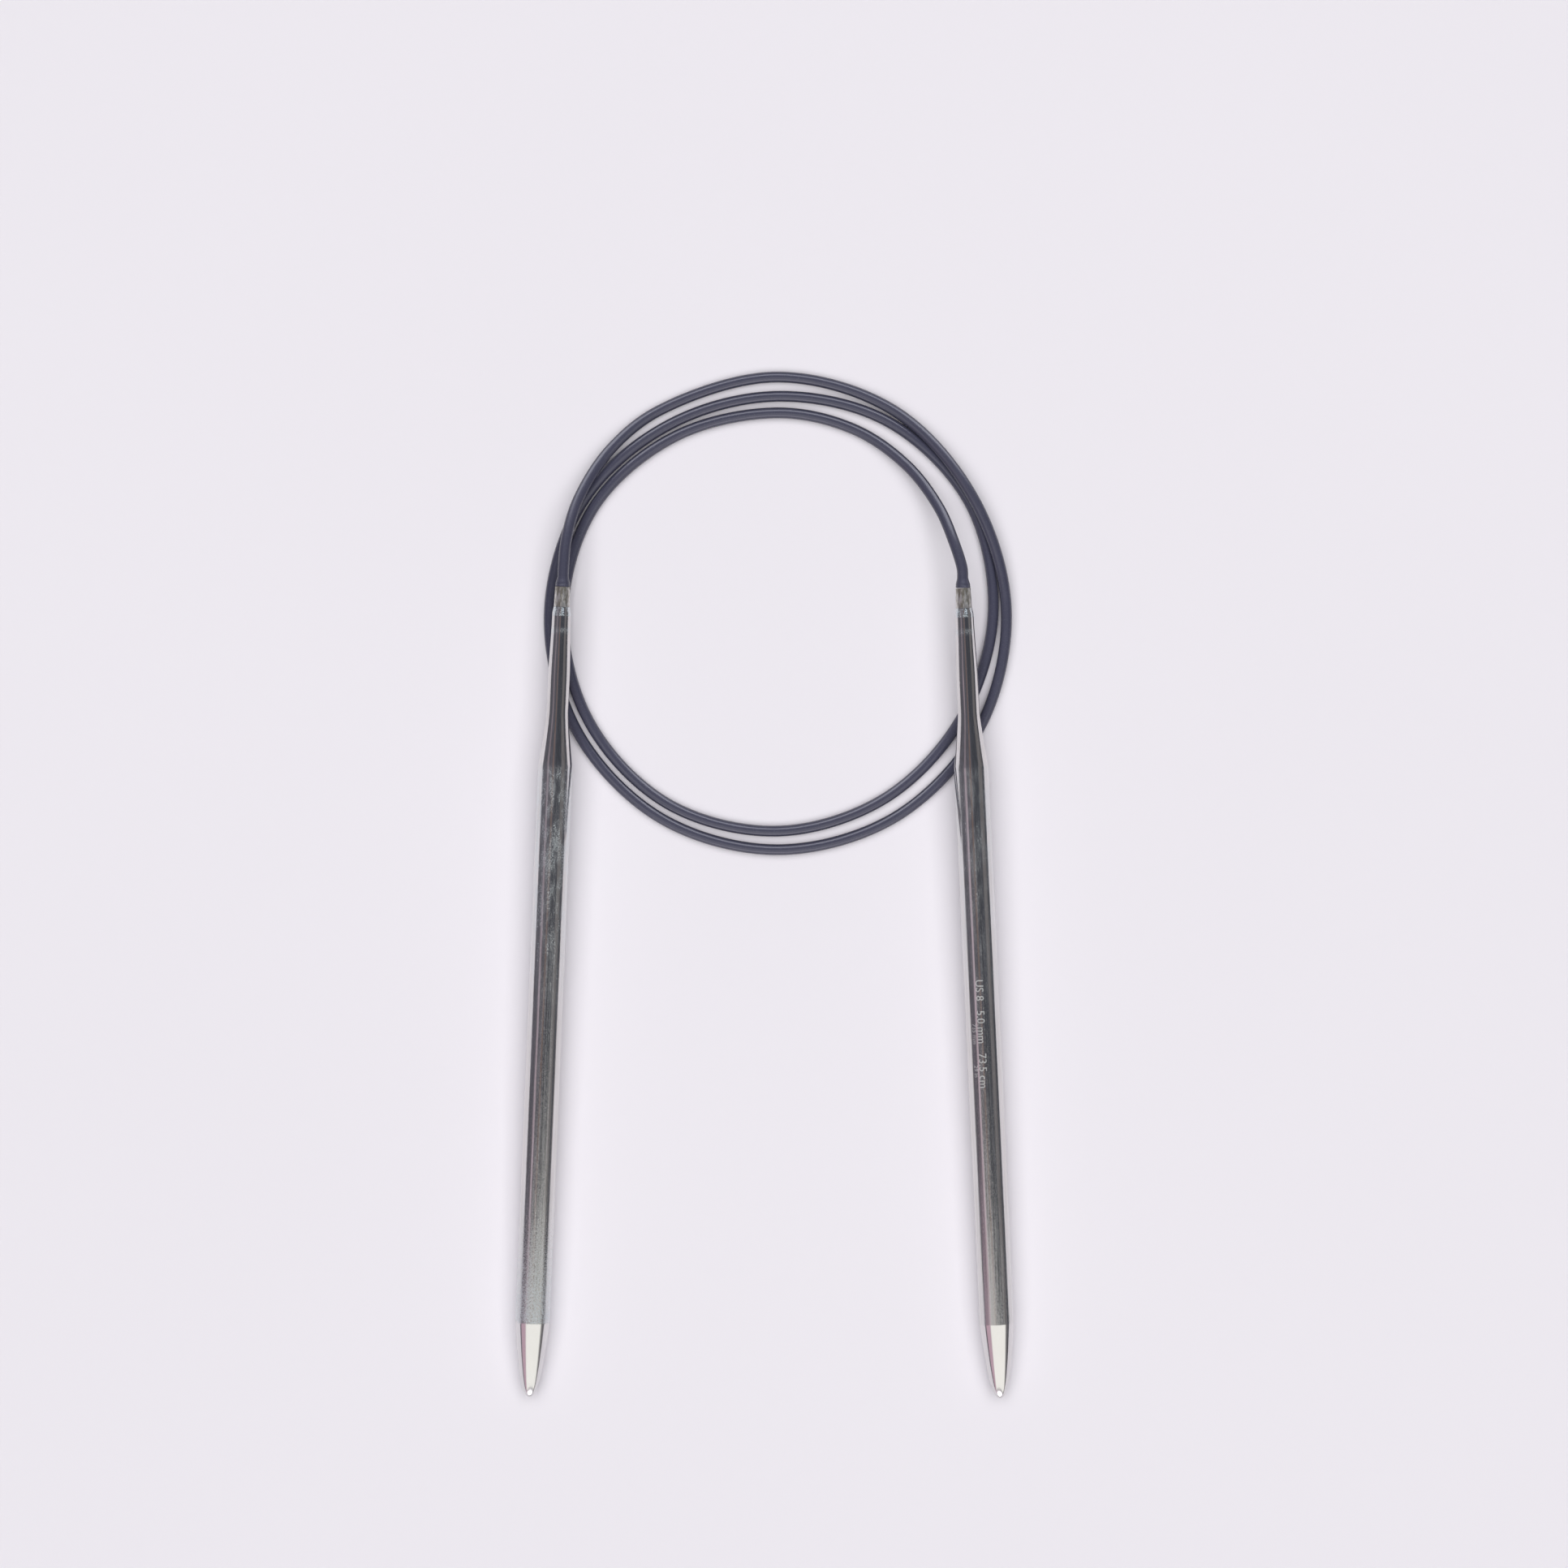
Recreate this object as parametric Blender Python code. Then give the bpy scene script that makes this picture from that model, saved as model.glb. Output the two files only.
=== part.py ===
"""A circular knitting needle, modelled in metres with +Z up.

Two hollow metal needles are joined end to end by one thin plastic cable. It lies on the plane
z = 0 as it does when it is stored: both points face -Y, and the cable is wound two and a half
times round into a loose coil at the +Y end, with the needles' necks lying over it.
The origin is on that plane, at the middle of the box that holds the two needles.
"""

import math
from collections import namedtuple

import bpy
from mathutils import Matrix, Vector

MM = 0.001

# The needles. "Along" is the distance from a needle's tip towards its cable.
NEEDLE_RADIUS = 2.5 * MM  # a 5.0 mm needle, US size 8
POINT_LENGTH = 11.0 * MM
POINT_FULLNESS = 0.42  # power of the point's nose curve: 1 is a straight cone, 0.5 is a bullet
POINT_RINGS = 10
SHOULDER_START = 91.7 * MM
SHOULDER_END = 99.6 * MM
SHOULDER_RINGS = 6
SHOULDER_SOFTNESS = 1.3  # power of the shoulder's curve: 1 is a straight cone
NECK_RADIUS = 1.56 * MM
NECK_TAPER_START = 104.0 * MM
NECK_TAPER_END = 113.6 * MM
NECK_TAPER_END_RADIUS = 1.34 * MM
NECK_END = 114.6 * MM
NECK_END_RADIUS = 1.2 * MM
NEEDLE_END = 117.5 * MM  # where the metal stops and the plastic collar starts
COLLAR_END = 119.1 * MM
SIDES = 32  # one of the flats between them faces straight down

# The tube's inside, and the pieces that sit in it.
BORE_RADIUS = 2.05 * MM
NECK_BORE_RADIUS = 0.95 * MM
BORE_SHOULDER_START = 91.3 * MM
BORE_SHOULDER_END = 99.8 * MM
SPIGOT_LENGTH = 6.0 * MM
ANCHOR_START = 102.0 * MM
FIT_GAP = 0.1 * MM  # between pieces that are pushed into or against each other
CHAMFER = 0.25 * MM

# The crimped ferrule and the moulded collar.
FERRULE_START_RADIUS = 1.17 * MM
FERRULE_END_RADIUS = 1.08 * MM
COLLAR_RADIUS = 1.05 * MM

# How the needles lie: the points' shoulders touch the surface and the necks rest on the cable.
NEEDLE_TILT = math.radians(1.5)

# The cable. The numbers of its route are millimetres, as in the sides' leads below.
CABLE_RADIUS = 0.8 * MM
CABLE_GAP = 0.3 * MM  # between the ends of its separate stretches
COIL_CENTRE = (1.9, 54.3)
COIL_FIRST_ANGLE = -30  # degrees, clockwise from +Y
COIL_STEP = 30
COIL_RADII = (
    34.0, 34.2, 33.8, 32.8, 33.2, 33.8, 34.3, 34.5, 34.4, 33.9, 33.2, 32.6,  # first turn
    31.5, 31.4, 32.0, 32.1, 31.3, 30.8, 31.2, 31.8, 32.1, 31.7, 31.2, 30.8,  # second turn
    29.6, 29.0,  # start of the last half turn, which the right side's lead completes
)  # fmt: skip
COIL_RISES = {2: 0.4, 3: 1.7, 4: 0.6}  # where the first turn rides up on the second
STRAIGHT_EXIT = 1.2 * MM  # the cable leaves its collar in line with the needle
LEAD_LENGTH = 16.0 * MM  # the stretch at each needle that bends
LEAD_SPACING = 3.2 * MM
COIL_SPACING = 7.0 * MM
LIFT_PIVOT = COLLAR_END + 3.5 * MM

# One side of the object. end_x and end_y are where the axis meets the metal's end, lean is how
# far the axis turns clockwise from +Y, lead is the cable's route from the collar down to the
# coil, and the sideways hinge stands on the lead's second point. Lengths here are millimetres.
Side = namedtuple("Side", "name end_x end_y lean lead")
LEFT = Side(
    "left",
    -29.15,
    57.8,
    2.42,
    ((-28.6, 64.9, 4.8), (-26.9, 70.7, 3.4), (-22.4, 77.9, 1.7)),
)
RIGHT = Side(
    "right",
    28.65,
    57.6,
    -2.68,
    ((27.3, 64.4, 4.8), (25.2, 69.4, 3.4), (20.6, 75.6, 1.8), (13.0, 80.9, 0.8)),
)


def clear_scene():
    for old in list(bpy.data.objects):
        bpy.data.objects.remove(old)


def make_material(name, colour, metallic, roughness):
    made = bpy.data.materials.new(name)
    made.use_nodes = True
    shader = made.node_tree.nodes["Principled BSDF"]
    shader.inputs["Base Color"].default_value = (*colour, 1.0)
    shader.inputs["Metallic"].default_value = metallic
    shader.inputs["Roughness"].default_value = roughness
    return made


def add_object(name, data, material, parent=None):
    made = bpy.data.objects.new(name, data)
    bpy.context.scene.collection.objects.link(made)
    data.materials.append(material)
    made.parent = parent
    return made


def ring(radius, height):
    """The corners of one level of a turned piece: a single one where it meets the axis."""
    if radius == 0:
        return [(0.0, 0.0, height)]
    turns = [(n + 0.5) * math.tau / SIDES for n in range(SIDES)]
    return [(radius * math.cos(a), radius * math.sin(a), height) for a in turns]


def turned(name, outline, material, parent):
    """A piece of revolution about the needle's axis, its own Z.

    The outline holds (radius, along) pairs and runs up the outside. It is solid if it starts
    and ends on the axis, and otherwise it closes on itself and makes a tube.
    """
    rings = [ring(*pair) for pair in outline]
    is_solid = outline[0][0] == 0
    corners = [corner for level in rings for corner in level]
    first = [sum(len(level) for level in rings[:n]) for n in range(len(rings))]
    faces = []
    for low in range(len(rings) - 1 if is_solid else len(rings)):
        high = (low + 1) % len(rings)
        for side in range(SIDES):
            after = (side + 1) % SIDES
            a, b = (first[low] + s % len(rings[low]) for s in (side, after))
            d, c = (first[high] + s % len(rings[high]) for s in (side, after))
            faces.append(tuple(dict.fromkeys((a, b, c, d))))
    mesh = bpy.data.meshes.new(name)
    mesh.from_pydata(corners, [], faces)
    mesh.shade_smooth()
    mesh.set_sharp_from_angle(angle=math.radians(30))
    made = add_object(name, mesh, material, parent)
    made.location.z = -LIFT_PIVOT
    return made


def shoulder(along_start, along_end, radius_start, radius_end):
    """The outline where a wide tube narrows to its neck: nearly a cone, level at its thin end."""
    outline = []
    for n in range(SHOULDER_RINGS + 1):
        share = n / SHOULDER_RINGS
        fall = 1 - (1 - share) ** SHOULDER_SOFTNESS
        radius = radius_start + (radius_end - radius_start) * fall
        outline.append((radius, along_start + (along_end - along_start) * share))
    return outline


def point_outline():
    """A full, blunt-nosed point, on a spigot that plugs the shank's open end."""
    nose = []
    for n in range(POINT_RINGS + 1):
        along = POINT_LENGTH * (n / POINT_RINGS) ** 3
        radius = NEEDLE_RADIUS * (along / POINT_LENGTH) ** POINT_FULLNESS
        nose.append((radius, along))
    spigot = BORE_RADIUS - FIT_GAP
    spigot_end = POINT_LENGTH + SPIGOT_LENGTH
    return nose + [
        (spigot, POINT_LENGTH),
        (spigot, spigot_end - CHAMFER),
        (spigot - CHAMFER, spigot_end),
        (0, spigot_end),
    ]


def shank_outline():
    """The tube that the stitches slide on, swaged down to a neck for the cable."""
    start = POINT_LENGTH + FIT_GAP
    outside = [
        (NEEDLE_RADIUS, start),
        *shoulder(SHOULDER_START, SHOULDER_END, NEEDLE_RADIUS, NECK_RADIUS),
        (NECK_RADIUS, NECK_TAPER_START),
        (NECK_TAPER_END_RADIUS, NECK_TAPER_END),
        (NECK_END_RADIUS, NECK_END),
    ]
    inside = [
        (BORE_RADIUS, start),
        *shoulder(BORE_SHOULDER_START, BORE_SHOULDER_END, BORE_RADIUS, NECK_BORE_RADIUS),
        (NECK_BORE_RADIUS, NECK_END),
    ]
    return outside + inside[::-1]


def ferrule_outline():
    """The band that is crimped round the cable's end, against the end of the neck."""
    start = NECK_END + FIT_GAP
    return [
        (FERRULE_START_RADIUS, start),
        (FERRULE_END_RADIUS, NEEDLE_END),
        (NECK_BORE_RADIUS, NEEDLE_END),
        (NECK_BORE_RADIUS, start),
    ]


def anchor_outline():
    """The end of the cable, inside the neck and the ferrule."""
    return [
        (0, ANCHOR_START),
        (CABLE_RADIUS - CHAMFER, ANCHOR_START),
        (CABLE_RADIUS, ANCHOR_START + CHAMFER),
        (CABLE_RADIUS, NEEDLE_END - FIT_GAP),
        (0, NEEDLE_END - FIT_GAP),
    ]


def collar_outline():
    """The moulded cone that fills the step between the ferrule and the cable."""
    start = NEEDLE_END + FIT_GAP
    return [
        (0, start),
        (COLLAR_RADIUS, start),
        (COLLAR_RADIUS, start + CHAMFER),
        (CABLE_RADIUS, COLLAR_END),
        (0, COLLAR_END),
    ]


def needle_pose(side):
    """The matrix that takes (sideways, up, along) at a needle's tip into the object's frame."""
    lean = math.radians(side.lean)
    level = Vector((math.sin(lean), math.cos(lean), 0))
    up = Vector((0, 0, 1))
    along = level * math.cos(NEEDLE_TILT) + up * math.sin(NEEDLE_TILT)
    over = up * math.cos(NEEDLE_TILT) - level * math.sin(NEEDLE_TILT)
    lowest_flat = NEEDLE_RADIUS * math.cos(math.pi / SIDES) * math.cos(NEEDLE_TILT)
    tip = Vector((side.end_x * MM, side.end_y * MM, 0)) - level * NEEDLE_END * math.cos(NEEDLE_TILT)
    tip.z = lowest_flat - POINT_LENGTH * math.sin(NEEDLE_TILT)
    rotation = Matrix((over.cross(along), over, along)).transposed()
    return Matrix.Translation(tip) @ rotation.to_4x4()


def add_pivot(name, place, parent=None):
    made = bpy.data.objects.new(name, None)
    made.empty_display_size = NEEDLE_RADIUS
    bpy.context.scene.collection.objects.link(made)
    made.parent = parent
    made.matrix_basis = place if parent is None else parent.matrix_basis.inverted() @ place
    return made


def add_needle(side, nickel, crimped, plastic):
    """One needle's pieces, under an empty on each of its two hinges."""
    swing = add_pivot(f"{side.name}_swing_pivot", Matrix.Translation(Vector(side.lead[1]) * MM))
    pose = needle_pose(side)
    lift_place = pose @ Matrix.Translation((0, 0, LIFT_PIVOT))
    lift = add_pivot(f"{side.name}_lift_pivot", lift_place, swing)
    turned(f"{side.name}_point", point_outline(), nickel, lift)
    turned(f"{side.name}_shank", shank_outline(), nickel, lift)
    turned(f"{side.name}_ferrule", ferrule_outline(), crimped, lift)
    turned(f"{side.name}_cable_anchor", anchor_outline(), plastic, lift)
    turned(f"{side.name}_collar", collar_outline(), plastic, lift)


def lead_route(side):
    """The route's points from a needle's collar to the coil, in metres."""
    pose = needle_pose(side)
    exits = [pose @ Vector((0, 0, COLLAR_END + d)) for d in (0, STRAIGHT_EXIT)]
    return exits + [Vector(point) * MM for point in side.lead]


def coil_route():
    """The turns of the coil, which tightens inwards, in metres."""
    points = []
    for n, radius in enumerate(COIL_RADII):
        angle = math.radians(COIL_FIRST_ANGLE + n * COIL_STEP)
        x = COIL_CENTRE[0] + radius * math.sin(angle)
        y = COIL_CENTRE[1] + radius * math.cos(angle)
        z = CABLE_RADIUS / MM + COIL_RISES.get(n, 0)
        points.append(Vector((x, y, z)) * MM)
    return points


def curve_between(before, start, end, after, share):
    """A point on the centripetal Catmull-Rom curve from start to end."""
    points = (before, start, end, after)
    knots = [0.0]
    for a, b in zip(points, points[1:]):
        knots.append(knots[-1] + math.sqrt((b - a).length))
    at = knots[1] + (knots[2] - knots[1]) * share
    level = list(points)
    for reach in (1, 2, 3):
        for n in range(4 - reach):
            low, high = (knots[n], knots[n + reach]) if reach < 3 else (knots[1], knots[2])
            level[n] = level[n].lerp(level[n + 1], (at - low) / (high - low))
    return level[0]


def smooth_line(points, samples=24):
    """A dense line along the smooth curve through the points, never below the surface."""
    ends = [2 * points[0] - points[1], *points, 2 * points[-1] - points[-2]]
    line = []
    for n in range(len(points) - 1):
        line += [curve_between(*ends[n : n + 4], s / samples) for s in range(samples)]
    line.append(points[-1].copy())
    for point in line:
        point.z = max(point.z, CABLE_RADIUS)
    return line


def distances(line):
    """How far along a line each of its points is."""
    found = [0.0]
    for a, b in zip(line, line[1:]):
        found.append(found[-1] + (b - a).length)
    return found


def stretch(line, start, end, spacing):
    """Evenly spaced points of a line, between two distances along it."""
    places = distances(line)
    count = max(2, round((end - start) / spacing) + 1)
    points, n = [], 0
    for k in range(count):
        at = start + (end - start) * k / (count - 1)
        while places[n + 1] < at and n < len(line) - 2:
            n += 1
        share = (at - places[n]) / (places[n + 1] - places[n])
        points.append(line[n].lerp(line[n + 1], share))
    return points


def tube(name, points, material):
    """A length of cable along the points."""
    curve = bpy.data.curves.new(name, "CURVE")
    curve.dimensions = "3D"
    curve.bevel_depth = CABLE_RADIUS
    curve.bevel_resolution = 2
    curve.use_fill_caps = True
    spline = curve.splines.new("POLY")
    spline.points.add(len(points) - 1)
    for made, point in zip(spline.points, points):
        made.co = (*point, 1.0)
    spline.use_smooth = True
    return add_object(name, curve, material)


def add_cable(plastic):
    """The cable, from one needle's collar to the other's, in three stretches."""
    line = smooth_line(lead_route(LEFT) + coil_route() + lead_route(RIGHT)[::-1])
    total = distances(line)[-1]
    far = total - LEAD_LENGTH
    tube("left_cable_lead", stretch(line, CABLE_GAP, LEAD_LENGTH, LEAD_SPACING), plastic)
    tube("cable_coil", stretch(line, LEAD_LENGTH + CABLE_GAP, far - CABLE_GAP, COIL_SPACING), plastic)
    tube("right_cable_lead", stretch(line, far, total - CABLE_GAP, LEAD_SPACING), plastic)


def main():
    clear_scene()
    nickel = make_material("polished_nickel", (0.72, 0.705, 0.70), 1.0, 0.16)
    crimped = make_material("crimped_nickel", (0.43, 0.42, 0.385), 1.0, 0.35)
    plastic = make_material("cable_plastic", (0.054, 0.055, 0.087), 0.0, 0.28)
    for side in (LEFT, RIGHT):
        add_needle(side, nickel, crimped, plastic)
    add_cable(plastic)


main()
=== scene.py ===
"""A circular knitting needle: two nickel-plated needles joined by one slate-coloured plastic cable.

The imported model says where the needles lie. This script gives them their fine, round surfaces
and their plated finish, lays the cable along its route, and sets a camera straight above.
"""

import math

import bmesh
import bpy
import numpy as np
from mathutils import Matrix, Vector


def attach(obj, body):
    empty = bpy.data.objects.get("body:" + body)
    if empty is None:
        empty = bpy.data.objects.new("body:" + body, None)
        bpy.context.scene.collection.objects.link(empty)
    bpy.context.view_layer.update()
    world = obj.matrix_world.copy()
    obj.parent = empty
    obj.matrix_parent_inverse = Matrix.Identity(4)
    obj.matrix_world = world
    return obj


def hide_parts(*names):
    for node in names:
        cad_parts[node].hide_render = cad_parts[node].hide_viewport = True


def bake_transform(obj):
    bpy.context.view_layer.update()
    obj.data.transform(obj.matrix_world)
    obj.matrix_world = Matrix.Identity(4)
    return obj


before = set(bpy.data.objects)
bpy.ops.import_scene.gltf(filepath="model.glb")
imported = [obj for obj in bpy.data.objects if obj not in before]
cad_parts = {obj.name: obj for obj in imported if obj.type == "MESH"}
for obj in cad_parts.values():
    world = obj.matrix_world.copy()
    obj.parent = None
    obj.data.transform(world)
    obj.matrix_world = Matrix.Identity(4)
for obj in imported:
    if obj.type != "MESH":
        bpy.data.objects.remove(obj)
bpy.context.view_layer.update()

MM = 0.001

# The view: straight down, as far up as this lens needs to take in a square this wide.
VIEW_CENTRE = (2.8 * MM, 29.35 * MM)
VIEW_WIDTH = 227.3 * MM
VIEW_LEVEL = 2.5 * MM  # the height at which the view is that wide
LENS = 100  # millimetres, like the sensor
SENSOR = 36

# The needles. "Along" is the distance from a needle's tip towards its cable.
NEEDLE_RADIUS = 2.5 * MM
POINT_LENGTH = 11.0 * MM
POINT_FULLNESS = 0.42
SEAM = 0.005 * MM  # what shows between the point and the tube it plugs
SHOULDER_START = 91.7 * MM
SHOULDER_END = 99.6 * MM
SHOULDER_SOFTNESS = 1.3  # power of the shoulder's curve: 1 is a straight cone
NECK_RADIUS = 1.56 * MM
NECK_TAPER_START = 104.0 * MM
NECK_TAPER_END = 113.6 * MM
NECK_TAPER_END_RADIUS = 1.34 * MM
NECK_END = 114.6 * MM
NECK_END_RADIUS = 1.2 * MM
NEEDLE_END = 117.5 * MM
COLLAR_END = 119.1 * MM
BORE_RADIUS = 2.05 * MM
NECK_BORE_RADIUS = 0.95 * MM
SPIGOT_RADIUS = 1.95 * MM
SPIGOT_LENGTH = 6.0 * MM
FIT_GAP = 0.1 * MM
ROUND_SIDES = 112
# Wear also sets how strongly the painted glints below each needle's shoulder show.
WEAR = {"left": 1.0, "right": 0.15}  # how frosted each needle's plate is, from 0 to 1

# The crimped ferrule and the moulded collar.
FERRULE_START_RADIUS = 1.17 * MM
FERRULE_END_RADIUS = 1.08 * MM
CRIMP_JAWS = 10
CRIMP_DEPTH = 0.02 * MM

# The cable. Its route's numbers are millimetres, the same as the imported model's.
CABLE_RADIUS = 0.8 * MM
CABLE_SIDES = 24
CABLE_STEP = 0.5 * MM
COIL_CENTRE = (1.9, 54.3)
COIL_FIRST_ANGLE = -30  # degrees, clockwise from +Y
COIL_STEP = 30
COIL_RADII = (
    34.0, 34.2, 33.8, 32.8, 33.2, 33.8, 34.3, 34.5, 34.4, 33.9, 33.2, 32.6,  # first turn
    31.5, 31.4, 32.0, 32.1, 31.3, 30.8, 31.2, 31.8, 32.1, 31.7, 31.2, 30.8,  # second turn
    29.6, 29.0,  # start of the last half turn, which the right lead completes
)  # fmt: skip
COIL_RISES = {2: 0.4, 3: 1.7, 4: 0.6}  # where the first turn rides up on the second
STRAIGHT_EXIT = 1.2 * MM
LEFT_LEAD = ((-28.6, 64.9, 4.8), (-26.9, 70.7, 3.4), (-22.4, 77.9, 1.7))
RIGHT_LEAD = ((27.3, 64.4, 4.8), (25.2, 69.4, 3.4), (20.6, 75.6, 1.8), (13.0, 80.9, 0.8))
SLEEVE_LENGTH = 7.0 * MM  # the cable next to a needle, which lifts with it
RUN_END = 45.0 * MM  # where the cable next to a needle stops following its swing
SWING_END = 16.0 * MM


# Camera


def place_camera():
    """Straight above the object, with +Y up in the picture."""
    data = bpy.data.cameras.new("overhead_camera")
    data.lens = LENS
    data.sensor_width = SENSOR
    camera = bpy.data.objects.new("overhead_camera", data)
    bpy.context.scene.collection.objects.link(camera)
    camera.location = (*VIEW_CENTRE, VIEW_WIDTH * LENS / SENSOR + VIEW_LEVEL)
    bpy.context.scene.camera = camera


# Where the needles lie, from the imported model


def unique_corners(node):
    corners = np.array([v.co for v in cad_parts[node].data.vertices], float)
    return np.unique(corners.round(7), axis=0)


def needle_pose(side):
    """The matrix that takes (sideways, up, along) at a needle's tip into the object's frame."""
    shank = unique_corners(f"{side}_shank")
    centre = shank.mean(axis=0)
    along = np.linalg.svd(shank - centre, full_matrices=False)[2][0]
    along *= np.sign(along[1])
    tip_reach = ((unique_corners(f"{side}_point") - centre) @ along).min()
    axis = Vector(along)
    over = Vector((0, 0, 1))
    over = (over - over.dot(axis) * axis).normalized()
    rotation = Matrix((over.cross(axis), over, axis)).transposed()
    return Matrix.Translation(Vector(centre + tip_reach * along)) @ rotation.to_4x4()


# The cable's route


def lead_route(side, lead):
    """The route's points from a needle's collar to the coil."""
    pose = needle_pose(side)
    exits = [pose @ Vector((0, 0, COLLAR_END + d)) for d in (0, STRAIGHT_EXIT)]
    return exits + [Vector(point) * MM for point in lead]


def coil_route():
    """The turns of the coil, which tightens inwards."""
    points = []
    for n, radius in enumerate(COIL_RADII):
        angle = math.radians(COIL_FIRST_ANGLE + n * COIL_STEP)
        x = COIL_CENTRE[0] + radius * math.sin(angle)
        y = COIL_CENTRE[1] + radius * math.cos(angle)
        z = CABLE_RADIUS / MM + COIL_RISES.get(n, 0)
        points.append(Vector((x, y, z)) * MM)
    return points


def curve_between(before, start, end, after, share):
    """A point on the centripetal Catmull-Rom curve from start to end."""
    points = (before, start, end, after)
    knots = [0.0]
    for a, b in zip(points, points[1:]):
        knots.append(knots[-1] + math.sqrt((b - a).length))
    at = knots[1] + (knots[2] - knots[1]) * share
    level = list(points)
    for reach in (1, 2, 3):
        for n in range(4 - reach):
            low, high = (knots[n], knots[n + reach]) if reach < 3 else (knots[1], knots[2])
            level[n] = level[n].lerp(level[n + 1], (at - low) / (high - low))
    return level[0]


def smooth_line(points, samples=24):
    """A dense line along the smooth curve through the points, never below the surface."""
    ends = [2 * points[0] - points[1], *points, 2 * points[-1] - points[-2]]
    line = []
    for n in range(len(points) - 1):
        line += [curve_between(*ends[n : n + 4], s / samples) for s in range(samples)]
    line.append(points[-1].copy())
    for point in line:
        point.z = max(point.z, CABLE_RADIUS)
    return line


def evenly_spaced(line, step):
    """The same line, with its points one step apart, as an array."""
    dense = np.array(line)
    lengths = np.linalg.norm(np.diff(dense, axis=0), axis=1)
    places = np.concatenate(([0.0], np.cumsum(lengths)))
    count = round(places[-1] / step) + 1
    wanted = np.linspace(0.0, places[-1], count)
    spaced = np.array([np.interp(wanted, places, dense[:, k]) for k in range(3)]).T
    return spaced, places[-1]


def frames_along(points):
    """Two directions square to the line at each of its points, carried along without twist."""
    tangents = np.gradient(points, axis=0)
    tangents /= np.linalg.norm(tangents, axis=1)[:, None]
    side = np.cross(tangents[0], (0.0, 0.0, 1.0))
    sides = []
    for tangent in tangents:
        side = side - (side @ tangent) * tangent
        side = side / np.linalg.norm(side)
        sides.append(side)
    sides = np.array(sides)
    return sides, np.cross(tangents, sides)


# Mesh building


def link_mesh(name, corners, faces, smooth_angle=35):
    """A smooth-shaded mesh object of these corners and faces."""
    mesh = bpy.data.meshes.new(name)
    mesh.from_pydata([tuple(c) for c in corners], [], faces)
    made = bmesh.new()
    made.from_mesh(mesh)
    bmesh.ops.recalc_face_normals(made, faces=made.faces)
    made.to_mesh(mesh)
    made.free()
    mesh.shade_smooth()
    mesh.set_sharp_from_angle(angle=math.radians(smooth_angle))
    piece = bpy.data.objects.new(name, mesh)
    bpy.context.scene.collection.objects.link(piece)
    return piece


def skin(rings, closed_ends=True):
    """The corners and faces of a skin over rings of corners. A one-corner ring is a pole."""
    first = np.concatenate(([0], np.cumsum([len(r) for r in rings])))
    sides = max(len(r) for r in rings)
    faces = []
    pairs = len(rings) - 1 if closed_ends else len(rings)
    for low in range(pairs):
        high = (low + 1) % len(rings)
        for side in range(sides):
            after = (side + 1) % sides
            a, b = (int(first[low]) + s % len(rings[low]) for s in (side, after))
            d, c = (int(first[high]) + s % len(rings[high]) for s in (side, after))
            faces.append(tuple(dict.fromkeys((a, b, c, d))))
    if closed_ends:
        for end in (0, len(rings) - 1):
            if len(rings[end]) > 1:
                faces.append(tuple(int(first[end]) + s for s in range(sides)))
    return np.concatenate(rings), faces


def turned(name, outline, is_tube=False, press=None):
    """A piece of revolution about its own Z. The outline holds (radius, along) pairs.

    press(angles, radius, along) gives the radius at each angle, where the piece isn't round.
    """
    angles = (np.arange(ROUND_SIDES) + 0.5) * math.tau / ROUND_SIDES
    rings = []
    for radius, along in outline:
        if radius == 0:
            rings.append(np.array([(0.0, 0.0, along)]))
            continue
        reach = np.full(ROUND_SIDES, radius) if press is None else press(angles, radius, along)
        height = np.full(ROUND_SIDES, along)
        rings.append(np.stack((reach * np.cos(angles), reach * np.sin(angles), height), axis=1))
    corners, faces = skin(rings, closed_ends=not is_tube)
    return link_mesh(name, corners, faces)


def swept(name, points, sides, overs, radii):
    """A closed tube along the points, with its own radius at each."""
    angles = np.arange(CABLE_SIDES) * math.tau / CABLE_SIDES
    cosines, sines = np.cos(angles)[:, None], np.sin(angles)[:, None]
    rings = [p + r * (cosines * s + sines * o) for p, s, o, r in zip(points, sides, overs, radii)]
    corners, faces = skin(rings)
    return link_mesh(name, corners, faces, smooth_angle=50)


def rounded_corner(before, corner, after, radius, steps=4):
    """An arc of the outline in place of a corner, radius long on each side of it."""
    corner, before, after = Vector(corner), Vector(before), Vector(after)
    start = corner + (before - corner).normalized() * radius
    end = corner + (after - corner).normalized() * radius
    shares = [n / steps for n in range(steps + 1)]
    arc = [start.lerp(corner, s).lerp(corner.lerp(end, s), s) for s in shares]
    return [tuple(point) for point in arc]


def eased(start, end, share):
    """Between start and end, level at both."""
    return start + (end - start) * (1 - math.cos(math.pi * share)) / 2


# The needles


def add_point(side, pose):
    """The full, blunt-nosed point on the spigot that plugs the tube."""
    rings = 44
    nose = []
    for n in range(rings + 1):
        along = POINT_LENGTH * (n / rings) ** 3
        nose.append((NEEDLE_RADIUS * (along / POINT_LENGTH) ** POINT_FULLNESS, along))
    base = [(SPIGOT_RADIUS, POINT_LENGTH), (SPIGOT_RADIUS, POINT_LENGTH + SPIGOT_LENGTH)]
    outline = nose + base + [(0, POINT_LENGTH + SPIGOT_LENGTH)]
    point = turned(f"{side}_needle_point", outline)
    point.matrix_world = pose
    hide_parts(f"{side}_point")
    return point


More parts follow.
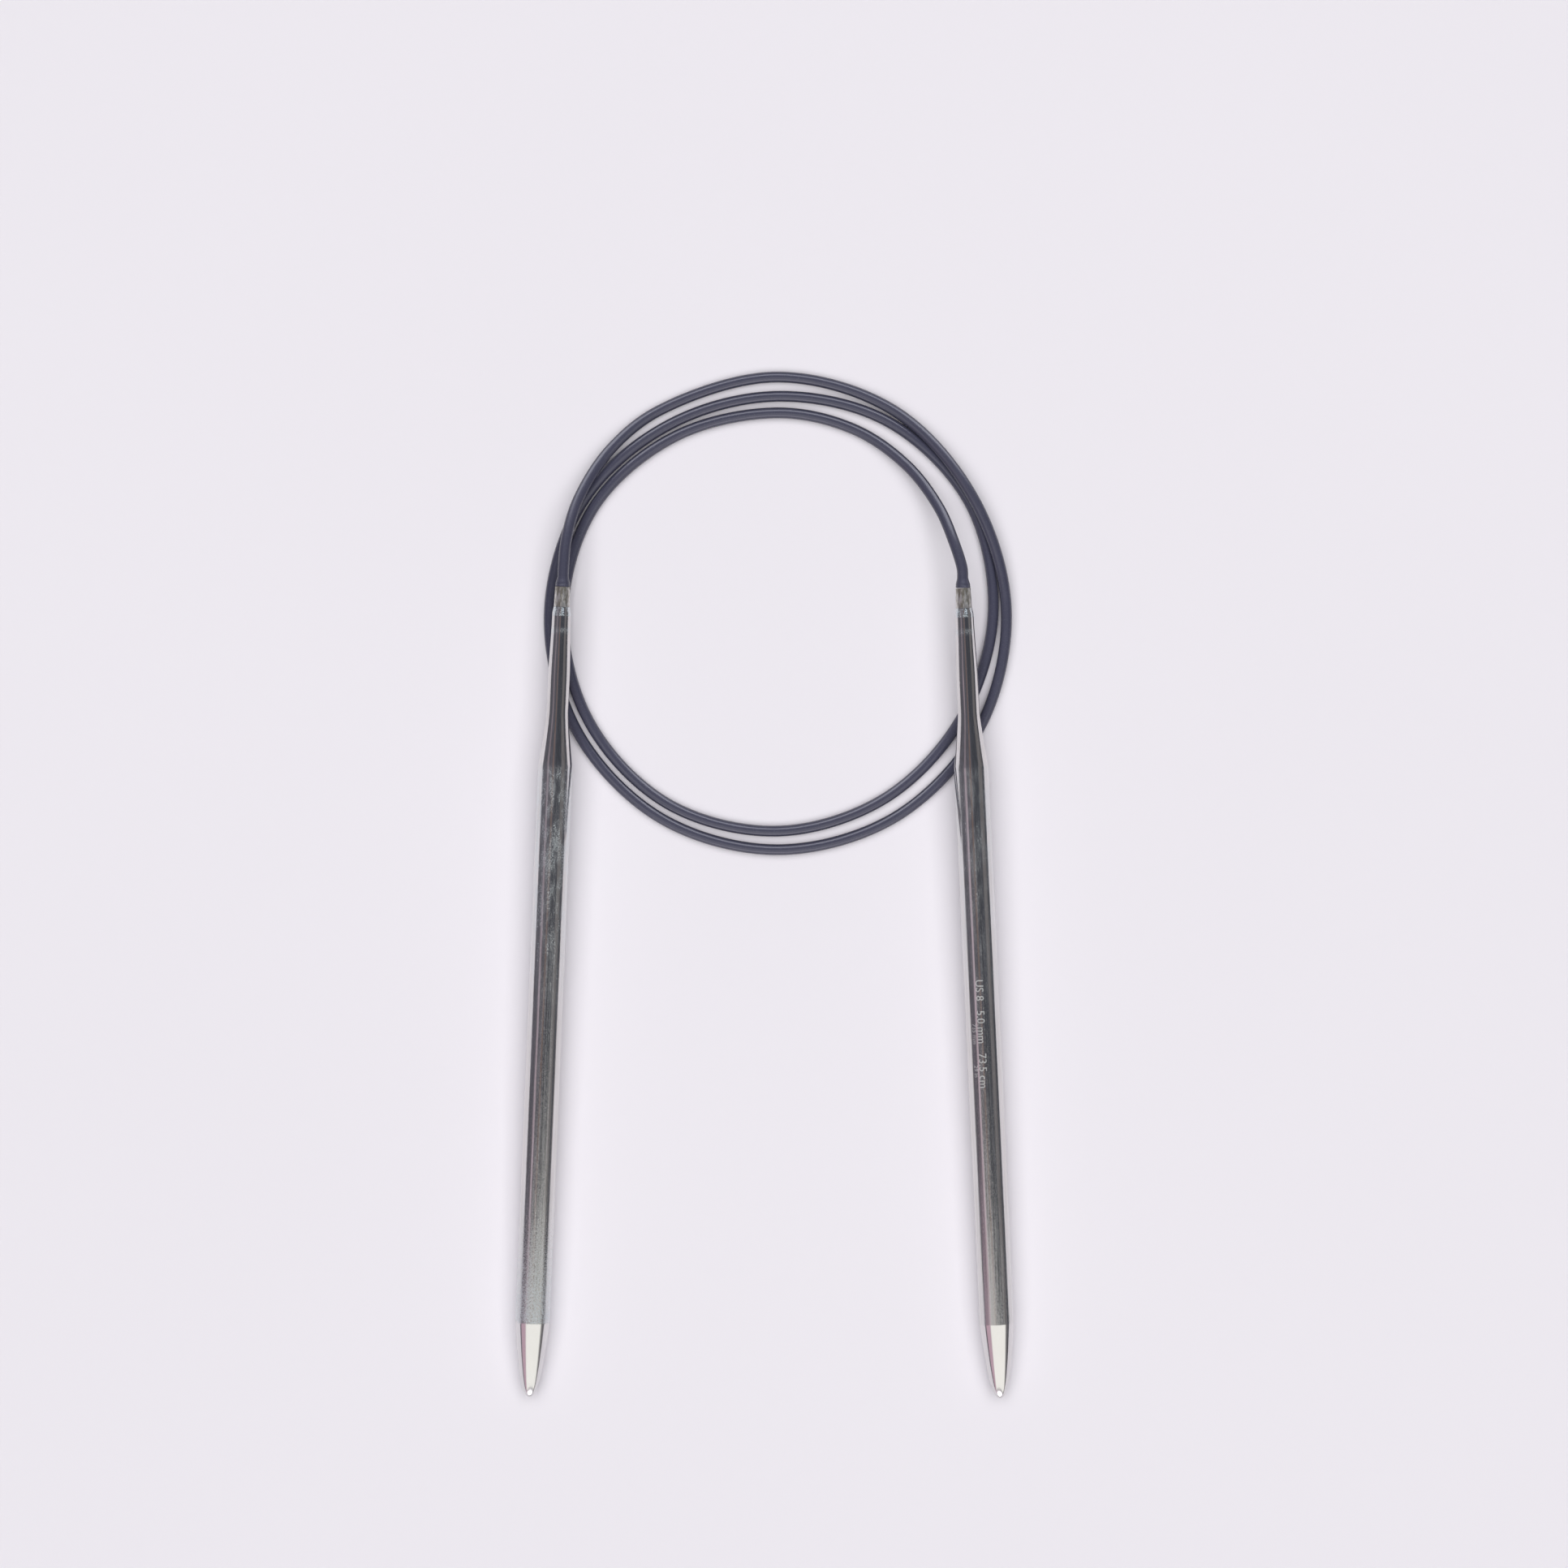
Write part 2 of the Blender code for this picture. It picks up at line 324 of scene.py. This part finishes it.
def shoulder(radius_start, radius_end, rings=24):
    """The outline where the tube narrows to its neck: nearly a cone, level at its thin end."""
    outline = []
    for n in range(rings + 1):
        share = n / rings
        fall = 1 - (1 - share) ** SHOULDER_SOFTNESS
        radius = radius_start + (radius_end - radius_start) * fall
        outline.append((radius, SHOULDER_START + (SHOULDER_END - SHOULDER_START) * share))
    return outline


def narrowed(radius_start, radius_end, along_start, along_end, rings=8):
    """The outline of a gentle narrowing, level at both ends."""
    shares = [n / rings for n in range(rings + 1)]
    reach = along_end - along_start
    return [(eased(radius_start, radius_end, s), along_start + reach * s) for s in shares]


def shank_outline():
    """The drawn tube, swaged down over its shoulder to the neck."""
    start = POINT_LENGTH + SEAM
    reach = SHOULDER_START - start
    rings = 24
    barrel = [(NEEDLE_RADIUS, start + reach * n / rings) for n in range(rings)]
    barrel.append((NEEDLE_RADIUS, SHOULDER_START - 0.2 * MM))  # keeps the shading crisp up to there
    outer = shoulder(NEEDLE_RADIUS, NECK_RADIUS)
    crease = rounded_corner(barrel[-1], outer[0], outer[1], 0.12 * MM)
    taper = narrowed(NECK_RADIUS, NECK_TAPER_END_RADIUS, NECK_TAPER_START, NECK_TAPER_END)
    fall = narrowed(NECK_TAPER_END_RADIUS, NECK_END_RADIUS, NECK_TAPER_END, NECK_END)[1:]
    bore = [(NECK_BORE_RADIUS, NECK_END), *shoulder(BORE_RADIUS, NECK_BORE_RADIUS)[::-1]]
    return barrel + crease + outer[1:] + taper + fall + bore + [(BORE_RADIUS, start)]


def add_shank(side, pose):
    """The plated tube that the stitches slide on."""
    shank = turned(f"{side}_needle_shank", shank_outline(), is_tube=True)
    shank.matrix_world = pose
    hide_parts(f"{side}_shank")
    return shank


def crimped(angles, radius, along):
    """The crinkles that the crimping jaws leave in the band, in three rows of shallow dents."""
    share = (along - NECK_END) / (NEEDLE_END - NECK_END)
    if radius <= NECK_BORE_RADIUS:
        return np.full(len(angles), radius)
    strength = math.sin(math.pi * min(1.0, max(0.0, share))) ** 0.5
    row = math.sin(3 * math.pi * share)
    jaws = np.cos(CRIMP_JAWS * angles + (math.pi if row < 0 else 0)) * abs(row)
    creases = 0.6 * np.sin(7 * angles + 30 * share) + 0.5 * np.sin(17 * angles - 45 * share)
    return radius - CRIMP_DEPTH * strength * (0.5 + 0.5 * jaws + 0.5 * creases)


def add_ferrule(side, pose):
    """The band crimped round the cable's end, against the end of the neck."""
    start = NECK_END + FIT_GAP / 4
    rings = 60
    band = [
        (
            FERRULE_START_RADIUS + (FERRULE_END_RADIUS - FERRULE_START_RADIUS) * n / rings,
            start + (NEEDLE_END - start) * n / rings,
        )
        for n in range(rings + 1)
    ]
    bore = [(NECK_BORE_RADIUS, NEEDLE_END), (NECK_BORE_RADIUS, start)]
    ferrule = turned(f"{side}_crimp_ferrule", band + bore, True, crimped)
    ferrule.matrix_world = pose
    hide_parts(f"{side}_ferrule")
    return ferrule


def size_mark_row(text, height, middle, across):
    """One line of the etched mark, wrapped on the right shank and read from neck to point.

    Middle is where it is along the needle, and across how far right of the top line it is.
    """
    thickness = 0.012 * MM
    curve = bpy.data.curves.new("size_mark", "FONT")
    curve.body = text
    curve.size = height / 0.72  # the font's capitals are 0.72 of its size
    curve.extrude = thickness
    curve.align_x = "CENTER"
    curve.align_y = "CENTER"
    curve.resolution_u = 4
    writing = bpy.data.objects.new("size_mark", curve)
    flat = bpy.data.meshes.new_from_object(writing)
    made = bmesh.new()
    made.from_mesh(flat)
    bmesh.ops.remove_doubles(made, verts=made.verts, dist=0.0005 * MM)
    cuts = 10
    for n in range(-cuts, cuts + 1):
        cut_at = (0, n * height / cuts, 0)
        everything = made.verts[:] + made.edges[:] + made.faces[:]
        bmesh.ops.bisect_plane(made, geom=everything, plane_co=cut_at, plane_no=(0, 1, 0))
    for vert in made.verts:
        along = middle - vert.co.x
        angle = (vert.co.y + across) / NEEDLE_RADIUS
        radius = NEEDLE_RADIUS + vert.co.z - thickness * 0.3
        vert.co = (-radius * math.sin(angle), radius * math.cos(angle), along)
    bmesh.ops.recalc_face_normals(made, faces=made.faces)
    made.to_mesh(flat)
    made.free()
    bpy.data.objects.remove(writing)
    return flat


def add_size_mark(pose):
    """The sizes etched on the right shank: a large row and a small one beside it."""
    rows = (
        ("US 8   5.0 mm   73.5 cm", 1.15 * MM, 53.2 * MM, -0.45 * MM),
        ("735 mm            29 in", 0.65 * MM, 50.8 * MM, -1.5 * MM),
    )
    made = bmesh.new()
    for row in rows:
        made.from_mesh(size_mark_row(*row))
    mesh = bpy.data.meshes.new("right_size_mark")
    made.to_mesh(mesh)
    made.free()
    mark = bpy.data.objects.new("right_size_mark", mesh)
    bpy.context.scene.collection.objects.link(mark)
    mark.matrix_world = pose
    return mark


# The cable


def collar_rings(line, sides, overs, pose):
    """The collar's own rings, from the ferrule's end to where the cable comes out of it."""
    profile = (
        (0.99, 0.00), (1.05, 0.06), (1.06, 0.24), (1.02, 0.29), (1.02, 0.36), (1.045, 0.42),
        (1.02, 0.60), (0.96, 0.82), (0.89, 1.05), (0.84, 1.25), (0.81, 1.42),
    )  # fmt: skip
    start = NEEDLE_END + FIT_GAP / 2
    points = [np.array(pose @ Vector((0, 0, start + along * MM))) for _, along in profile]
    radii = [radius * MM for radius, _ in profile]
    count = len(profile)
    return points, [sides[0]] * count, [overs[0]] * count, radii


def add_cable():
    """The cable from collar to collar, in five stretches that meet face to face."""
    poses = {side: needle_pose(side) for side in ("left", "right")}
    route = lead_route("left", LEFT_LEAD) + coil_route() + lead_route("right", RIGHT_LEAD)[::-1]
    line, length = evenly_spaced(smooth_line(route), CABLE_STEP)
    sides, overs = frames_along(line)
    radii = np.full(len(line), CABLE_RADIUS)
    step = length / (len(line) - 1)
    sleeve, run, swing = (round(d / step) for d in (SLEEVE_LENGTH, RUN_END, SWING_END))
    made = {}
    backwards = (line[::-1], sides[::-1], -overs[::-1])
    for side, (points, across, over) in zip(poses, ((line, sides, overs), backwards)):
        pose = poses[side]
        collar = collar_rings(points, across, over, pose)
        lead = (points[: sleeve + 1], across[: sleeve + 1], over[: sleeve + 1], radii[: sleeve + 1])
        joined = [list(a) + list(b) for a, b in zip(collar, lead)]
        piece = swept(f"{side}_join_sleeve", *joined)
        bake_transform(piece)
        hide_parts(f"{side}_collar", f"{side}_cable_lead")
        made[f"{side}_sleeve"] = piece
        stretch = slice(sleeve, run + 1)
        near = swept(f"cable_{side}_run", points[stretch], across[stretch], over[stretch], radii[stretch])
        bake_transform(near)
        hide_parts(f"{side}_cable_lead", "cable_coil")
        made[f"{side}_run"] = near
    stretch = slice(run, len(line) - run)
    middle = swept("cable_middle_run", line[stretch], sides[stretch], overs[stretch], radii[stretch])
    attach(middle, "coil")
    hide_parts("cable_coil")
    made["middle"] = middle
    return made


# Materials


class Graph:
    """Short ways to add the nodes of a texture or of the studio's surroundings."""

    def __init__(self, tree):
        self.tree = tree

    def add(self, kind, **settings):
        node = self.tree.nodes.new(kind)
        for key, value in settings.items():
            setattr(node, key, value)
        return node

    def feed(self, socket, value):
        """Links an output into a socket, or sets the socket's own value."""
        if isinstance(value, bpy.types.NodeSocket):
            self.tree.links.new(value, socket)
        else:
            socket.default_value = value

    def math(self, operation, a, b=0.0):
        node = self.add("ShaderNodeMath", operation=operation)
        self.feed(node.inputs[0], a)
        self.feed(node.inputs[1], b)
        return node.outputs[0]

    def product(self, *factors):
        result = factors[0]
        for factor in factors[1:]:
            result = self.math("MULTIPLY", result, factor)
        return result

    def ramp(self, value, low, high, to_low=0.0, to_high=1.0):
        """Smoothly from to_low to to_high while the value goes from low to high."""
        node = self.add("ShaderNodeMapRange", interpolation_type="SMOOTHSTEP")
        for socket, given in zip(node.inputs, (value, low, high, to_low, to_high)):
            self.feed(socket, given)
        return node.outputs[0]

    def window(self, value, start, end, soft):
        """1 between start and end, and 0 outside them."""
        rise = self.ramp(value, start - soft, start + soft)
        return self.math("MULTIPLY", rise, self.ramp(value, end + soft, end - soft))

    def mix(self, share, first, second):
        node = self.add("ShaderNodeMix", data_type="RGBA")
        self.feed(node.inputs[0], share)
        self.feed(node.inputs[6], first)
        self.feed(node.inputs[7], second)
        return node.outputs[2]

    def axes(self, vector):
        node = self.add("ShaderNodeSeparateXYZ")
        self.feed(node.inputs[0], vector)
        return node.outputs


class Surface(Graph):
    """A new material's nodes."""

    def __init__(self, name):
        self.material = bpy.data.materials.new(name)
        self.material.use_nodes = True
        super().__init__(self.material.node_tree)
        self.shader = self.tree.nodes["Principled BSDF"]
        self.coordinates = self.add("ShaderNodeTexCoord").outputs["Object"]

    def noise(self, scales, detail=2.0, roughness=0.5):
        """Noise in the piece's own coordinates, with this many grains to a metre on each axis."""
        stretch = self.add("ShaderNodeMapping")
        self.feed(stretch.inputs["Vector"], self.coordinates)
        stretch.inputs["Scale"].default_value = scales
        node = self.add("ShaderNodeTexNoise")
        self.feed(node.inputs["Vector"], stretch.outputs[0])
        node.inputs["Scale"].default_value = 1.0
        node.inputs["Detail"].default_value = detail
        node.inputs["Roughness"].default_value = roughness
        return node.outputs["Fac"]

    def bump(self, height, distance, strength=1.0, under=None):
        node = self.add("ShaderNodeBump")
        self.feed(node.inputs["Height"], height)
        node.inputs["Distance"].default_value = distance
        node.inputs["Strength"].default_value = strength
        if under is not None:
            self.feed(node.inputs["Normal"], under)
        return node.outputs[0]

    def set(self, **values):
        """Sets or links the shader's sockets; a socket's spaces are written as underscores."""
        for key, value in values.items():
            self.feed(self.shader.inputs[key.replace("_", " ")], value)


def frost_and_painted_glints(graph, along, grains, wear):
    """Where the swaging left the plate frosted, with pale bluish glints painted on it: below the
    shoulder, on a ring of the neck and at the neck's end.
    """
    clusters = graph.ramp(graph.noise((1500, 1500, 420), detail=3), 0.34, 0.60, 0.1, 1.0)
    frost = graph.product(clusters, graph.ramp(grains, 0.38, 0.56, 0.1, 1.0))
    neck_end = graph.window(along, NECK_TAPER_END - 0.3 * MM, NECK_END, 0.1 * MM)
    neck_glint_ring = graph.window(along, 110.8 * MM, 111.6 * MM, 0.3 * MM)
    up_to_shoulder = graph.ramp(along, SHOULDER_START + 0.9 * MM, SHOULDER_START - 1.3 * MM)
    below_shoulder = graph.product(graph.ramp(along, 46.0 * MM, 82.0 * MM), up_to_shoulder)
    places = graph.math("ADD", neck_end, graph.product(neck_glint_ring, 0.5))
    places = graph.math("ADD", places, graph.product(below_shoulder, 0.28 + 0.30 * wear))
    return graph.product(frost, places)


def nickel(name, wear):
    """Bright nickel plate, drawn lengthways, with fine specks that thicken towards the point.

    Wear, from 0 to 1, is how frosted it is there and where it was swaged, and how strong the painted
    glints below the shoulder are.
    """
    graph = Surface(name)
    along = graph.axes(graph.coordinates)["Z"]
    draw_lines = graph.noise((5200, 5200, 90), detail=3)
    clouds = graph.noise((420, 420, 160), detail=3)
    grains = graph.noise((8200, 8200, 7000), detail=2, roughness=0.6)
    near_point = graph.ramp(along, 36.0 * MM, 6.0 * MM)
    on_shank = graph.ramp(along, POINT_LENGTH - 0.2 * MM, POINT_LENGTH + 0.3 * MM, 0.12, 1.0)
    least = graph.ramp(along, 95.0 * MM, POINT_LENGTH, 0.56, 0.38)
    specks = graph.product(graph.ramp(grains, least, graph.math("ADD", least, 0.22)), on_shank)
    greyed = graph.product(specks, near_point, wear)
    # The frosted places also carry painted highlights: pale bluish glints at the neck's end, on a ring of
    # the neck and in specks below the shoulder.
    frost_and_glint_patches = frost_and_painted_glints(graph, along, grains, wear)

    plate = graph.mix(clouds, (0.68, 0.665, 0.66, 1), (0.76, 0.745, 0.74, 1))
    dull_lines = graph.product(graph.ramp(draw_lines, 0.62, 0.38, 0.0, 0.6), on_shank)
    plate = graph.mix(dull_lines, plate, (0.58, 0.565, 0.54, 1))
    colour = graph.mix(greyed, plate, (0.62, 0.68, 0.71, 1))
    # Painted highlights: this pale bluish colour stands in for glints. The roughness and mattness added
    # below are the frost.
    colour = graph.mix(frost_and_glint_patches, colour, (0.64, 0.73, 0.77, 1))

    smooth = graph.ramp(draw_lines, 0.3, 0.7, 0.08, 0.13)
    speck_roughness = graph.ramp(near_point, 0.0, 1.0, 0.10, 0.10 + 0.18 * wear)
    rough = graph.math("ADD", smooth, graph.product(specks, speck_roughness))
    rough = graph.math("ADD", rough, graph.product(frost_and_glint_patches, 0.28))
    rough = graph.math("ADD", rough, graph.product(near_point, on_shank, 0.14 * wear))
    matt = graph.math("ADD", graph.product(frost_and_glint_patches, 0.20), graph.product(greyed, 0.07))
    metallic = graph.math("SUBTRACT", 1.0, matt)
    fine = graph.bump(draw_lines, 0.0003 * MM, 0.5)
    normal = graph.bump(specks, 0.002 * MM * wear, 0.6, under=fine)
    graph.set(Base_Color=colour, Metallic=metallic, Roughness=rough, Normal=normal)
    return graph.material


def crimped_nickel():
    """The band's plate, dulled and creased by the crimping jaws."""
    graph = Surface("crimped_nickel")
    creases = graph.noise((5200, 5200, 1400), detail=3, roughness=0.6)
    along = graph.axes(graph.coordinates)["Z"]
    # Darker olive blotches, with more of them towards the collar end of the band.
    by_collar = graph.ramp(along, NEEDLE_END - 1.6 * MM, NEEDLE_END, 0.0, 0.14)
    stains = graph.noise((2600, 2600, 900), detail=3)
    olive_darkening = graph.ramp(graph.math("ADD", stains, by_collar), 0.40, 0.66)
    colour = graph.mix(olive_darkening, (0.62, 0.61, 0.59, 1), (0.32, 0.305, 0.26, 1))
    rough = graph.ramp(creases, 0.3, 0.75, 0.32, 0.46)
    normal = graph.bump(creases, 0.006 * MM, 0.6)
    graph.set(Base_Color=colour, Metallic=1.0, Roughness=rough, Normal=normal)
    return graph.material


def etched_nickel():
    """The frosted surface that the laser leaves in the plate."""
    graph = Surface("etched_nickel")
    frost = graph.noise((9000, 9000, 9000), detail=2)
    colour = graph.mix(frost, (0.56, 0.58, 0.57, 1), (0.78, 0.80, 0.79, 1))
    rough = graph.ramp(frost, 0.3, 0.7, 0.36, 0.52)
    normal = graph.bump(frost, 0.01 * MM, 0.6)
    graph.set(Base_Color=colour, Metallic=1.0, Roughness=rough, Normal=normal)
    return graph.material


def cable_plastic():
    """Slate blue-grey moulded plastic, semi-gloss, with a faint grain."""
    graph = Surface("cable_plastic")
    clouds = graph.noise((260, 260, 260), detail=3)
    grain = graph.noise((6500, 6500, 6500), detail=2)
    base = graph.mix(clouds, (0.050, 0.051, 0.082, 1), (0.058, 0.058, 0.092, 1))
    scuffs = graph.ramp(graph.noise((1400, 1400, 1400), detail=4), 0.62, 0.80, 0.0, 0.25)
    colour = graph.mix(scuffs, base, (0.09, 0.088, 0.125, 1))
    rough = graph.ramp(grain, 0.3, 0.75, 0.22, 0.28)
    normal = graph.bump(grain, 0.001 * MM, 0.4)
    graph.set(Base_Color=colour, Roughness=rough, Normal=normal)
    return graph.material


def floor_material():
    """Plain pale lilac-white board."""
    graph = Surface("pale_floor")
    mottle = graph.noise((9, 9, 9), detail=2)
    graph.set(Base_Color=graph.mix(mottle, (0.80, 0.77, 0.82, 1), (0.82, 0.79, 0.84, 1)), Roughness=0.9)
    return graph.material


def finish_in(piece, material):
    piece.data.materials.clear()
    piece.data.materials.append(material)


# Floor and light


def add_floor():
    half = 3.0
    corners = [(-half, -half, 0), (half, -half, 0), (half, half, 0), (-half, half, 0)]
    floor = link_mesh("floor", corners, [(0, 1, 2, 3)])
    floor.location.z = -0.03 * MM
    finish_in(floor, floor_material())


def ceiling(graph, x, y):
    """A dim ceiling with faint lengthways streaks, the pale one brighter towards the front."""
    left, right = (0.128, 0.125, 0.150, 1), (0.071, 0.076, 0.093, 1)
    colour = graph.mix(graph.ramp(x, -0.10, 0.15), left, right)
    pale_pink = graph.mix(graph.ramp(y, 0.0, -0.14), (0.30, 0.255, 0.295, 1), (0.66, 0.54, 0.61, 1))
    streaks = (
        (-0.78, -0.64, pale_pink),
        (-0.26, -0.10, (0.215, 0.160, 0.150, 1)),
        (0.70, 0.95, (0.190, 0.182, 0.190, 1)),
    )
    for start, end, streak in streaks:
        colour = graph.mix(graph.window(x, start, end, 0.045), colour, streak)
    return colour


def light_surroundings():
    """What the pieces reflect: the ceiling, and soft panels in front and at the back.

    X, y and z are the direction that is looked in. It lights nothing by itself: that is left
    to the overhead lamp.
    """
    world = bpy.data.worlds.new("soft_studio")
    bpy.context.scene.world = world
    world.use_nodes = True
    graph = Graph(world.node_tree)
    x, y, z = graph.axes(graph.add("ShaderNodeTexCoord").outputs["Generated"])
    above_horizon = graph.ramp(z, 0.10, 0.22)
    in_front = graph.product(graph.ramp(y, -0.17, -0.23), graph.ramp(y, -0.74, -0.66), above_horizon)
    front = graph.product(in_front, graph.window(x, -0.66, 0.84, 0.05))
    front_side = graph.product(in_front, graph.ramp(x, -0.66, -0.71))
    low_front = graph.product(graph.ramp(y, -0.70, -0.84), above_horizon)
    aside = graph.math("ABSOLUTE", x)
    back = graph.product(graph.window(y, 0.62, 0.84, 0.07), graph.ramp(aside, 0.88, 0.62))
    panels = (
        (front_side, (0.62, 0.44, 0.52, 1)),
        (front, (1.16, 1.15, 1.10, 1)),
        (low_front, (3.00, 2.85, 3.00, 1)),
        (back, (5.40, 5.45, 5.90, 1)),
    )
    colour = ceiling(graph, x, y)
    for place, light in panels:
        colour = graph.mix(place, colour, light)
    graph.feed(graph.tree.nodes["Background"].inputs["Color"], colour)
    world.cycles_visibility.diffuse = False


def light_overhead():
    """A broad soft lamp above, which the bright plate doesn't reflect."""
    data = bpy.data.lights.new("overhead_lamp", "AREA")
    data.shape = "SQUARE"
    data.size = 3.2
    data.energy = 74
    lamp = bpy.data.objects.new("overhead_lamp", data)
    bpy.context.scene.collection.objects.link(lamp)
    lamp.location = (0, 0.1, 2.0)
    lamp.visible_glossy = False


def main():
    place_camera()
    cable = add_cable()
    plastic = cable_plastic()
    band = crimped_nickel()
    for side, wear in WEAR.items():
        bright = nickel(f"{side}_plated_nickel", wear)
        pose = needle_pose(side)
        point, shank = add_point(side, pose), add_shank(side, pose)
        ferrule = add_ferrule(side, pose)
        finish_in(point, bright)
        finish_in(shank, bright)
        finish_in(ferrule, band)
        for piece in (point, shank, ferrule):
            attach(piece, f"{side}_needle")
        finish_in(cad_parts[f"{side}_cable_anchor"], plastic)
    mark = add_size_mark(needle_pose("right"))
    finish_in(mark, etched_nickel())
    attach(mark, "right_needle")
    for piece in cable.values():
        finish_in(piece, plastic)
    add_floor()
    light_surroundings()
    light_overhead()
    bpy.context.scene.view_settings.view_transform = "Standard"


main()
